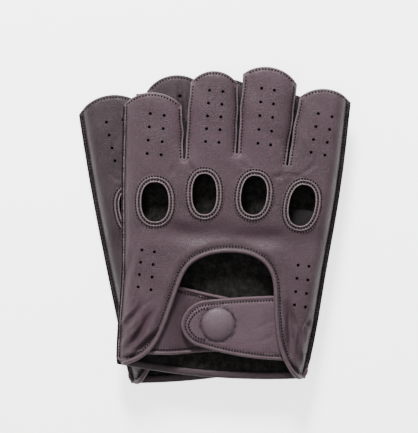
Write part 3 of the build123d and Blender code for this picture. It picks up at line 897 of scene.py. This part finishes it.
def suede(name, colour):
    """Short black nap with rubbed streaks."""
    n = Nodes(name, Specular_IOR_Level=0.15, Sheen_Weight=0.05, Sheen_Roughness=0.45)
    nap = n.span(n.noise(1400, 6, 0.7), 0.30, 0.72)
    rubbed = n.span(n.noise(330, 9, 0.82), 0.46, 0.69)
    base = n.mix(rubbed, colour, (0.023, 0.022, 0.019))
    base = n.mix(nap * 0.5, base, tuple(c * 0.4 for c in colour))
    return n.finish(Base_Color=base, Roughness=0.86 - rubbed * 0.16, Normal=n.bump(nap, 0.0004, 0.6))


def thread(name, colour):
    """Twisted sewing thread."""
    n = Nodes(name, Specular_IOR_Level=0.12)
    twist = n.span(n.noise(2600, 2, 0.5, (1.0, 0.5, 1.0)), 0.35, 0.68)
    base = n.mix(twist, tuple(c * 0.5 for c in colour), tuple(c * 1.6 for c in colour))
    return n.finish(Base_Color=base, Roughness=0.62 + twist * 0.2, Normal=n.bump(twist, 0.0002, 0.6))


def snap_metal(name, colour):
    """Plated metal, lightly worn and scratched."""
    n = Nodes(name, Metallic=1.0)
    worn = n.span(n.noise(260, 5, 0.65), 0.38, 0.70)
    scratch = n.span(n.noise(500, 3, 0.6, (1.0, 6.0, 1.0)), 0.45, 0.75)
    base = n.mix(worn, tuple(c * 0.6 for c in colour), colour)
    return n.finish(Base_Color=base, Roughness=0.28 + worn * 0.2, Normal=n.bump(scratch, 0.00005, 0.4))


def paper(name):
    """Pale studio paper that glows a little, so that it stays bright."""
    n = Nodes(name, Specular_IOR_Level=0.1, Emission_Strength=2.4)
    tooth = n.noise(300, 3)
    base = n.mix(tooth * 0.05, (0.94, 0.94, 0.94), (0.86, 0.86, 0.86))
    return n.finish(Base_Color=base, Roughness=0.9 - tooth * 0.05, Emission_Color=base)


# The light raw edge colour, also used for a painted highlight, and the near black for dark seams and painted
# shade.
EDGE_AND_HIGHLIGHT = (0.155, 0.120, 0.128)
SEAM_DARK_AND_SHADE = (0.002, 0.0012, 0.0015)
glove_leather = leather("glove_leather", (0.0355, 0.0190, 0.0255), EDGE_AND_HIGHLIGHT, SEAM_DARK_AND_SHADE, 0.46)
ring_leather = leather("ring_leather", (0.042, 0.023, 0.030), EDGE_AND_HIGHLIGHT, SEAM_DARK_AND_SHADE, 0.48)
binding_leather = leather("binding_leather", (0.056, 0.034, 0.042), EDGE_AND_HIGHLIGHT, SEAM_DARK_AND_SHADE, 0.44, 0.8)
strap_leather = leather("strap_leather", (0.056, 0.032, 0.042), EDGE_AND_HIGHLIGHT, SEAM_DARK_AND_SHADE, 0.44)
cap_leather = leather("cap_leather", (0.071, 0.046, 0.058), EDGE_AND_HIGHLIGHT, SEAM_DARK_AND_SHADE, 0.42, 0.8)
palm_leather = leather("palm_leather", (0.022, 0.015, 0.017), EDGE_AND_HIGHLIGHT, SEAM_DARK_AND_SHADE, 0.55, 1.3)
# painted shade: near black for the fourchettes, gap folds and the thumb stall's outside, as the shade deep in the
# finger gaps and inside the glove
sidewall_leather = leather("sidewall_leather", (0.003, 0.0018, 0.002), EDGE_AND_HIGHLIGHT, SEAM_DARK_AND_SHADE, 0.72)
hem_leather = leather("hem_leather", (0.030, 0.018, 0.022), EDGE_AND_HIGHLIGHT, SEAM_DARK_AND_SHADE, 0.50)
black_suede = suede("black_suede", (0.0022, 0.0016, 0.0016))
dark_thread = thread("dark_thread", (0.0020, 0.0013, 0.0016))
nickelled_brass = snap_metal("nickelled_brass", (0.46, 0.40, 0.31))


# ---------------------------------------------------------------- the back
def perforations(glove):
    """The perforations' centres."""
    places = []
    for first, last, count in glove.p["finger_holes"] + glove.p["lobe_holes"]:
        for t in np.linspace(0, 1, count):
            places.append((1 - t) * np.array(first) + t * np.array(last))
    return places


def perforation(place, grow=0.0):
    """The small round loop of one perforation, moved out by grow."""
    return ellipse(*place, PERFORATION + grow, PERFORATION + grow, 0, 12, 0.0, 2.0)


def back_marks(glove, flat):
    """How light each point's raw edge is, with a painted highlight beside the thumb side, and how dark its seam,
    with painted shade on the thumb side and over the right glove.
    """
    gaps, tips, opening = glove.seam_distance(flat)
    little, thumb = glove.sides(flat[:, 1])
    from_little, from_thumb = flat[:, 0] - little, thumb - flat[:, 0]
    from_cut = np.minimum(gaps, tips)
    rim = np.clip(1.3 - from_cut / TIP_MARK, 0, 1) * np.where(tips < gaps, 0.45, 0.65)
    edges = [
        np.maximum(rim, bell(from_little, 0.95, 0.30)) * glove.p["edge_light"],
        # painted highlight: a light line along the roll just inside the thumb side's flange, fading in towards the
        # fingers
        0.12 * bell(from_thumb, 3.0, 0.6) * eased((flat[:, 1] + 12) / 20),
        0.32 * bell(from_cut, SEAM_IN, 0.40),
        0.28 * bell(opening, OPENING_STITCHES, 0.35),
        0.28 * bell(from_thumb, THUMB_SEAM[1], 0.35),
    ]
    # painted shade: the thumb side's flange under its rolled edge is darkened over a band, narrower towards the
    # wrist
    band = glove.p["painted_shade_band"] - 0.4 * eased((-64 - flat[:, 1]) / 12)
    darks_and_shade = [
        0.30 * bell(from_little, LITTLE_SEAM[1], 0.40),
        0.90 * eased((0.75 - from_little) / 0.3),
        0.95 * eased((band - from_thumb) / 0.45),
        0.75 * bell(opening, 1.20, 0.32),
        # painted shade: darker towards the thumb side, so that its rounded edge catches less light
        0.30 * eased((9.5 - from_thumb) / 7.0),
        # painted shade: the whole back of the glove that lies underneath is darkened
        np.full(len(flat), glove.p["shade"]),
    ]
    darks_and_shade += [1.0 * (np.hypot(*(flat - place).T) < PERFORATION + 0.05) for place in perforations(glove)]
    return np.max(edges, axis=0), np.max(darks_and_shade, axis=0)


def back_panel(glove):
    """The one-piece leather back, with its gaps, holes, seams and creases."""
    holes = [ellipse(*k, 72) for k in glove.p["knuckles"].values()]
    holes += [perforation(place) for place in perforations(glove)]
    rows = []
    for line in (glove.little_line, glove.thumb_seam, *glove.tip_lines, *glove.gap_lines):
        rows += [beside(line, -d) for d in (0.55, 0.85, 1.2, 1.65, 2.2, 2.9)]
    rows += [beside(glove.edge_line, -d) for d in (1.3, 1.65, OPENING_STITCHES, 2.4, 3.0, 3.7)]
    inner = spread(glove.outline, holes, rows, 1.25, 3.3)
    for place in perforations(glove):
        inner = inner[np.hypot(*(inner - place).T) > PERFORATION + 0.5]
        inner = np.vstack([inner, perforation(place, 0.16)])
    flat, faces = triangles(glove.outline, holes, inner)
    top = glove.top(flat)
    points, faces, kinds, rim = shell(flat, faces, top, top - LEATHER)
    edge, dark = back_marks(glove, flat)
    marks = {"edge": on_shell(edge, rim), "dark": on_shell(dark, rim)}
    faces_of = [glove_leather, black_suede, glove_leather]
    return new_piece(f"{glove.hand}_back", glove, points, faces, faces_of, kinds, marks)


def knuckle_ring(glove, finger):
    """The facing round one knuckle hole: raw rim, stitched groove, ridge, second groove."""
    loops = []
    for i, (out, rise, _, _) in enumerate(RING_PROFILE):
        line = ellipse(*glove.p["knuckles"][finger], RING_POINTS, out)
        wobble = 0.05 * np.sin(np.arange(RING_POINTS) * 0.71 + i)
        loops.append(np.column_stack([line, glove.top(line, plain=True) + rise + wobble * (rise > 0)]))
    points, faces = loft(loops, loop=True)
    faces = [face[::-1] for face in faces]
    marks = {
        "edge": np.repeat([light for _, _, light, _ in RING_PROFILE], RING_POINTS),
        "dark": np.repeat([dark for _, _, _, dark in RING_PROFILE], RING_POINTS),
    }
    return new_piece(f"{glove.hand}_ring_{finger}", glove, points, faces, [ring_leather], None, marks)


def wrist_binding(glove):
    """The rolled strip round the half-moon and down both lobes."""
    heights = glove.top(glove.edge_line, plain=True) - 0.25
    points, faces = roll(glove.edge_line, heights, BINDING_RADIUS, 1.15, 16, 0.018)
    return new_piece(f"{glove.hand}_opening_binding", glove, points, faces, [binding_leather])


def sidewall(glove, number):
    """The strip folded into the gap between two fingers, near black as painted shade."""
    line = spaced(glove.gap_lines[number], 0.8)
    roof = glove.top(line, plain=True) - 0.9
    steps = np.linspace(0, 1, 6)
    room = np.minimum(1.0, 0.15 + 0.03 * np.abs(line[:, 1] - glove.p["valleys"][number][1]))
    rings = []
    for point, out, high, share in zip(line, sideways(line), roof, room):
        ring = []
        for inset, order in ((0.10, steps), (0.85, steps[::-1])):
            for t in order:
                bulge = share * 0.55 * math.sin(math.pi * t)
                ring.append([*(point + out * (bulge - inset)), PALM + t * (high - PALM)])
        rings.append(ring)
    points, faces = loft(rings)
    return new_piece(f"{glove.hand}_{FINGER_GAPS[number]}", glove, points, faces, [sidewall_leather])


def gap_fold(glove, number):
    """The sidewall leather lying folded across the gap between two fingers, near black as painted shade."""
    line = glove.gap_lines[number]
    low = int(np.argmin(line[:, 1]))
    left, right = line[: low + 1][::-1], line[low:]
    share = np.linspace(0, 1, 9)
    rings = []
    for y in np.linspace(line[low, 1] + 0.4, glove.p["folds_to"][number], 26):
        first = np.interp(y, left[:, 1], left[:, 0]) - 0.35
        last = np.interp(y, right[:, 1], right[:, 0]) + 0.35
        xs = first + share * (last - first)
        spot = np.array([[first, min(y, left[-1, 1])], [last, min(y, right[-1, 1])]])
        ends = glove.top(spot, plain=True) - 2.5
        fold = 1.5 * np.sin(math.pi * share) + 0.5 * np.sin(3 * math.pi * share + 0.02 * y)
        zs = ends[0] + share * (ends[1] - ends[0]) - fold * min(1.0, (last - first) / 3)
        ring = [[x, y, z] for x, z in zip(xs, zs)]
        rings.append(ring + [[x, y, z - 0.5] for x, z in zip(xs[::-1], zs[::-1])])
    points, faces = loft(rings)
    faces = [face[::-1] for face in faces]
    return new_piece(f"{glove.hand}_{FINGER_GAPS[number]}_fold", glove, points, faces, [sidewall_leather])


# ---------------------------------------------------------------- the palm and the thumb
def thumb_frame(glove):
    """The thumb stall's sewn side: its middle, half length, direction, and the way into the palm."""
    low, high = (np.array(p) for p in glove.p["thumb_root"])
    length = np.linalg.norm(high - low)
    along = (high - low) / length
    return (low + high) / 2, length / 2, along, np.array([-along[1], along[0]])


def palm_panel(glove):
    """The palm, leather outside and black suede inside, open where the thumb is sewn in."""
    middle, half, along, inward = thumb_frame(glove)
    grow = 0.9
    end, depth = along * (half + grow), inward * (STALL_REACH + 2 * grow)
    corners = [middle - end, middle + end, middle + end + depth, middle - end + depth]
    hole = np.vstack([spaced([a, b], 1.5)[:-1] for a, b in zip(corners, corners[1:] + corners[:1])])
    inner = spread(glove.palm_outline, [hole], [], 2.4, 1.2)
    flat, faces = triangles(glove.palm_outline, [hole], inner)
    x, y = flat[:, 0], flat[:, 1]
    upper = PALM + 0.12 * np.sin(x / 8.0 + 1.0) * np.sin(y / 9.0)
    lower = 0.06 + 0.06 * np.sin(x / 6.0) * np.sin(y / 7.0)
    points, faces, kinds, rim = shell(flat, faces, upper, lower)
    closed = np.vstack([glove.palm_outline, glove.palm_outline[:1]])
    edge = 0.35 * np.clip(1 - distance_to(flat, closed) / 0.8, 0, 1)
    edge = np.concatenate([np.zeros(len(flat)), edge, edge[rim]])
    marks = {"edge": edge, "dark": np.zeros(len(points))}
    faces_of = [black_suede, palm_leather, palm_leather]
    return new_piece(f"{glove.hand}_palm", glove, points, faces, faces_of, kinds, marks)


def palm_hem(glove):
    """The wide binding of the palm's wrist edge."""
    line = beside(glove.hem_line, -1.7)[2:-2]
    points, faces = roll(line, np.full(len(line), 0.98), 1.75, 0.96, 14, 0.03)
    return new_piece(f"{glove.hand}_hem", glove, points, faces, [hem_leather])


def thumb_stall(glove):
    """The short thumb stall, pressed flat and folded in, open at both ends."""
    middle, half, along, inward = thumb_frame(glove)
    count = 28

    def ring(depth, spare, thin):
        swell = 1.75 - 0.25 * math.sin(depth / STALL_REACH * math.pi) - thin
        points = []
        for k in range(count):
            angle = -2 * math.pi * k / count
            c, s = math.cos(angle), math.sin(angle)
            across = math.copysign(abs(c) ** 0.35, c) * (half + spare)
            up = math.copysign(abs(s) ** 0.75, s) * swell
            points.append([*(middle + inward * depth + along * across), 1.9 + up])
        return points

    outer = [ring(depth, 0.95, 0.0) for depth in STALL_DEPTHS]
    inner = [ring(depth, 0.10, 0.6) for depth in STALL_DEPTHS[::-1]]
    points, faces = loft(outer + inner, loop=True)
    band = np.arange(len(faces)) // count
    kinds = 1 * ((band >= len(outer) - 1) & (band < 2 * len(outer) - 1))
    # painted shade: the stall's outside is near black like the shade inside the glove
    return new_piece(f"{glove.hand}_thumb_stall", glove, points, faces, [sidewall_leather, black_suede], kinds)


# ---------------------------------------------------------------- the strap, the cap and the tab
def strap_line(inset=0.0, step=0.8):
    """The strap's free edge from the fold's top round the tip to the fold's low end."""
    parts = [arc(*ends, step) for ends in STRAP_ARCS]
    line = spaced(np.vstack([parts[0], *[part[1:] for part in parts[1:]]]), step)
    for _ in range(3):
        line[1:-1] = (line[:-2] + 2 * line[1:-1] + line[2:]) / 4
    return beside(line, inset) if inset else line


def strap_height(points):
    """The strap's upper face: a little crowned, pressed in under the lobe's edge."""
    flat = np.asarray(points, float)[:, :2]
    x, y = flat.T
    from_edge = distance_to(flat, strap_line())
    height = STRAP_TOP - 0.55 + 0.75 * rounded((from_edge - 1.2) / 8.0)
    height -= 0.8 * eased((x - 17) / 10)
    height -= 0.38 * bell(from_edge, STRAP_STITCHES, 0.45)
    height -= 0.30 * bell(np.hypot(x - SNAP[0], y - SNAP[1]), CAP_RADIUS, 1.0)
    height += 0.10 * np.sin(x / 3.7 + y / 6.1)
    for ends in STRAP_CREASES:
        height -= 0.30 * bell(distance_to(flat, np.array(ends, float)), 0, 0.7)
    return height


def strap(glove):
    """The strap's leather and its suede underside, from under the lobe to the tip."""
    line = strap_line(0.9)
    outline = np.vstack([line, spaced([line[-1], line[0]], 1.0)[1:-1]])
    rows = [strap_line(d) for d in (1.5, 2.0, STRAP_STITCHES, 2.9, 3.6)]
    flat, faces = plain_sheet(outline, rows, 1.3, 3.4)
    points, faces, kinds, rim = shell(flat, faces, strap_height(flat), np.full(len(flat), STRAP_UNDER))
    from_edge = distance_to(flat, strap_line())
    from_snap = np.hypot(flat[:, 0] - SNAP[0], flat[:, 1] - SNAP[1])
    edge = 0.25 * bell(from_edge, STRAP_STITCHES, 0.40)
    # The second term is painted shade: a dark ring on the strap round the cap, in its shaded groove.
    dark = 0.75 * bell(from_edge, 1.85, 0.30) + bell(from_snap, CAP_RADIUS + 0.1, 0.50)
    marks = {"edge": on_shell(edge, rim), "dark": on_shell(dark, rim)}
    faces_of = [strap_leather, black_suede, strap_leather]
    return new_piece(f"{glove.hand}_strap", glove, points, faces, faces_of, kinds, marks)


def strap_binding(glove):
    """The folded strip along the strap's free edge."""
    line = strap_line(0.95)
    heights = np.minimum(strap_height(line), STRAP_TOP) - 0.85
    points, faces = roll(line, heights, 0.95, 1.25, 14, 0.015)
    return new_piece(f"{glove.hand}_strap_edge", glove, points, faces, [binding_leather])


def cap(glove):
    """The leather-covered cap: a low dome tucked in round its edge."""
    count = 64
    turn = 2 * math.pi * np.arange(count) / count
    gathers = 0.006 * np.sin(9 * turn) + 0.004 * np.sin(23 * turn + 1)
    rings = []
    for i, (radius, z, _) in enumerate(CAP_PROFILE):
        r = radius * (1 + gathers * (i > 4))
        rings.append(np.column_stack([SNAP[0] + r * np.cos(turn), SNAP[1] + r * np.sin(turn), np.full(count, z)]))
    points, faces = loft(rings)
    faces = [face[::-1] for face in faces]
    # painted shade: the cap's tucked edge and underside are dark like the shaded groove round it
    dark = np.repeat([dark for _, _, dark in CAP_PROFILE], count)
    marks = {"dark": dark, "edge": dark * 0}
    return new_piece(f"{glove.hand}_cap", glove, points, faces, [cap_leather], None, marks)


TAB_LINES = (flowing(TAB_UPPER, 0.8), flowing(TAB_LOWER, 0.8))


def tab_top(glove, points, sag=0.0):
    """The tab lies low under the strap, rises to the little finger's lobe and stays under the back."""
    x, y = np.asarray(points, float)[:, :2].T
    height = 4.5 + 4.2 * eased((-16 - x) / 15)
    height -= 1.2 * eased((-30 - x) / 10) * eased((-66 - y) / 12)
    height += 0.10 * np.sin(x / 2.9 + y / 5.0)
    return np.minimum(height, glove.top(points, plain=True) - UNDER_BACK) - sag


def tab(glove):
    """The closure tab from the little finger's lobe, which the strap snaps on to."""
    upper, lower = TAB_LINES
    end = arc(tuple(upper[-1]), TAB_END, tuple(lower[-1]), 1.0)
    back = spaced([lower[0], upper[0]], 1.0)
    outline = np.vstack([lower, end[::-1][1:], upper[::-1][1:], back[::-1][1:-1]])
    flat, faces = plain_sheet(outline, [], 1.6, 1.1)
    top = tab_top(glove, flat)
    for line in TAB_LINES:
        top -= 0.35 * bell(distance_to(flat, line), TAB_STITCHES, 0.4)
    points, faces, kinds, rim = shell(flat, faces, top, top - 1.0)
    dark = 0.8 * sum(bell(distance_to(flat, line), 1.25, 0.4) for line in TAB_LINES)
    marks = {"edge": np.zeros(len(points)), "dark": on_shell(dark, rim)}
    faces_of = [glove_leather, black_suede, glove_leather]
    return new_piece(f"{glove.hand}_tab", glove, points, faces, faces_of, kinds, marks)


def tab_edge(glove, line, name):
    """The folded strip along one long edge of the tab."""
    points, faces = roll(line, tab_top(glove, line, 0.42), 0.9, 0.92, 12, 0.015)
    return new_piece(f"{glove.hand}_{name}", glove, points, faces, [binding_leather])


# ---------------------------------------------------------------- stitches
def seam_rows(glove):
    """Every stitch row of the back: sides, fingertips, finger gaps and the wrist opening."""
    rows = [beside(glove.little_line, -d) for d in LITTLE_SEAM]
    rows += [beside(glove.thumb_seam, -d) for d in THUMB_SEAM]
    rows += [beside(tip, -SEAM_IN)[2:-2] for tip in glove.tip_lines]
    for line in glove.gap_lines:
        low = int(np.argmin(line[:, 1]))
        rows.append(beside(line[: low + 1], -SEAM_IN)[1:-1])
        rows.append(beside(line[low:], -SEAM_IN)[1:-1])
    rows.append(beside(glove.edge_line, -OPENING_STITCHES)[3:-3])
    return rows


def ring_rows(glove):
    """Two closed stitch rows round each knuckle hole."""
    rows = []
    for values in glove.p["knuckles"].values():
        for out in RING_ROWS:
            line = ellipse(*values, 90, out)
            rows.append(np.vstack([line, line[:1]]))
    return rows


def sewn(glove, name, rows, height, **shape):
    """One piece of stitches in dark thread."""
    points, faces = stitches(rows, height, **shape)
    return new_piece(f"{glove.hand}_{name}_stitches", glove, points, faces, [dark_thread])


def seam_stitches(glove):
    return sewn(glove, "seam", seam_rows(glove), lambda at: glove.top(at) + STITCH_RISE)


def ring_stitches(glove):
    shape = {**FINE_STITCH, "thick": 0.40, "start": 0.0}
    return sewn(glove, "ring", ring_rows(glove), lambda at: glove.top(at, plain=True) + STITCH_RISE, **shape)


def strap_stitches(glove):
    tip = np.array([p for p in strap_line(4.1) if p[0] < -8.5])
    rows = [strap_line(STRAP_STITCHES), tip]
    return sewn(glove, "strap", rows, lambda at: strap_height(at) + STITCH_RISE, **FINE_STITCH)


def tab_stitches(glove):
    upper, lower = TAB_LINES
    rows = [beside(upper, -TAB_STITCHES)[2:-6], beside(lower, TAB_STITCHES)[3:-6]]
    return sewn(glove, "tab", rows, lambda at: tab_top(glove, at) + 0.10, **FINE_STITCH)


def hem_stitches(glove):
    rows = [beside(glove.hem_line, -4.0)[3:-3]]
    return sewn(glove, "hem", rows, lambda at: np.full(len(at), PALM + 0.14), length=0.9, thick=0.24, pitch=1.3)


# ---------------------------------------------------------------- on the frame
def put(piece, body, slot, *nodes):
    """Sets a piece on its body and hides the frame nodes that it stands for; slot is not used."""
    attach(piece, body)
    if nodes:
        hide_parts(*nodes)


def bend_with_strap(piece, glove, slot, *nodes):
    """Bakes a strap piece's transform into its mesh and hides the frame nodes that it stands for; the fold's two
    sides are worked out but left unused.
    """
    low, high = np.array(FOLD_LOW), np.array(FOLD_TOP)
    middle = np.array([*(low + high) / 2, FOLD_HEIGHT])
    run = (high - low) / np.linalg.norm(high - low)
    across = np.array([-run[1], run[0], 0])
    start, end = glove.row([middle - FOLD_REACH[0] * across, middle + FOLD_REACH[1] * across])
    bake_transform(piece)
    if nodes:
        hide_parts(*nodes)


for hand, glove in gloves.items():
    body = f"{hand}_glove"
    put(back_panel(glove), body, "glove_leather", f"{hand}_back_panel")
    for finger in glove.p["knuckles"]:
        put(knuckle_ring(glove, finger), body, "glove_leather", f"{hand}_knuckle_ring_{finger}")
    put(wrist_binding(glove), body, "binding_leather", f"{hand}_wrist_opening_binding")
    for number, name in enumerate(FINGER_GAPS):
        put(sidewall(glove, number), body, "sidewall_leather", f"{hand}_{name}_fourchette")
    for number in range(len(FINGER_GAPS)):
        put(gap_fold(glove, number), body, "sidewall_leather")
    put(palm_panel(glove), body, "palm_leather", f"{hand}_palm_panel")
    put(palm_hem(glove), body, "palm_leather", f"{hand}_palm_hem_binding")
    put(thumb_stall(glove), f"{hand}_thumb_body", "glove_leather", f"{hand}_thumb_sleeve")
    strap_nodes = [f"{hand}_{name}" for name in ("strap", "strap_lining", "strap_root")]
    bend_with_strap(strap(glove), glove, "glove_leather", *strap_nodes)
    bend_with_strap(strap_binding(glove), glove, "binding_leather", f"{hand}_strap_binding")
    bend_with_strap(strap_stitches(glove), glove, "binding_leather")
    put(cap(glove), f"{hand}_strap_body", "cap_leather", f"{hand}_snap_cap")
    put(tab(glove), body, "glove_leather", f"{hand}_closure_tab")
    for line, name in zip(TAB_LINES, ("upper", "lower")):
        put(tab_edge(glove, line, f"tab_{name}_edge"), body, "binding_leather", f"{hand}_tab_{name}_binding")
    put(seam_stitches(glove), body, "glove_leather")
    put(ring_stitches(glove), body, "glove_leather")
    put(tab_stitches(glove), body, "binding_leather")
    put(hem_stitches(glove), body, "palm_leather")
    for name in ("snap_socket", "snap_stud", "snap_post"):
        for slot in frame["nodes"][f"{hand}_{name}"].material_slots:
            slot.material = nickelled_brass


# ---------------------------------------------------------------- floor, light and camera
def make_floor():
    side = 1.6
    mesh = bpy.data.meshes.new("floor")
    corners = [(-side, -side, 0), (side, -side, 0), (side, side, 0), (-side, side, 0)]
    mesh.from_pydata(corners, [], [(0, 1, 2, 3)])
    mesh.materials.append(paper("floor_paper"))
    floor = bpy.data.objects.new("floor", mesh)
    bpy.context.collection.objects.link(floor)


def area_light(name, place, size, power):
    """A round soft lamp that faces the gloves."""
    data = bpy.data.lights.new(name, "AREA")
    data.shape, data.size, data.energy = "DISK", size, power
    lamp = bpy.data.objects.new(name, data)
    lamp.location = place
    lamp.rotation_euler = (Vector((0, 0, 0.02)) - Vector(place)).to_track_quat("-Z", "Y").to_euler()
    bpy.context.collection.objects.link(lamp)


def make_light():
    world = bpy.data.worlds.new("studio")
    world.use_nodes = True
    background = world.node_tree.nodes["Background"]
    background.inputs["Color"].default_value = (1.0, 1.0, 1.0, 1)
    background.inputs["Strength"].default_value = 0.60
    bpy.context.scene.world = world
    area_light("key", (-0.10, 0.85, 0.62), 0.28, 36.0)
    area_light("fill", (-0.25, -0.15, 0.95), 0.5, 3.5)


def make_camera():
    """Straight above, with the pair filling most of the height."""
    low, high = (Vector(p) for p in cad_box)
    middle = (low + high) / 2
    distance, tall = 0.9, 0.2165
    aim = middle + Vector((-0.0025, 0.0051, high.z - 0.004 - middle.z))
    data = bpy.data.cameras.new("camera")
    data.lens = data.sensor_width * distance / tall
    camera = bpy.data.objects.new("camera", data)
    camera.location = aim + Vector((0, 0, distance))
    bpy.context.collection.objects.link(camera)
    bpy.context.scene.camera = camera


make_floor()
make_light()
make_camera()
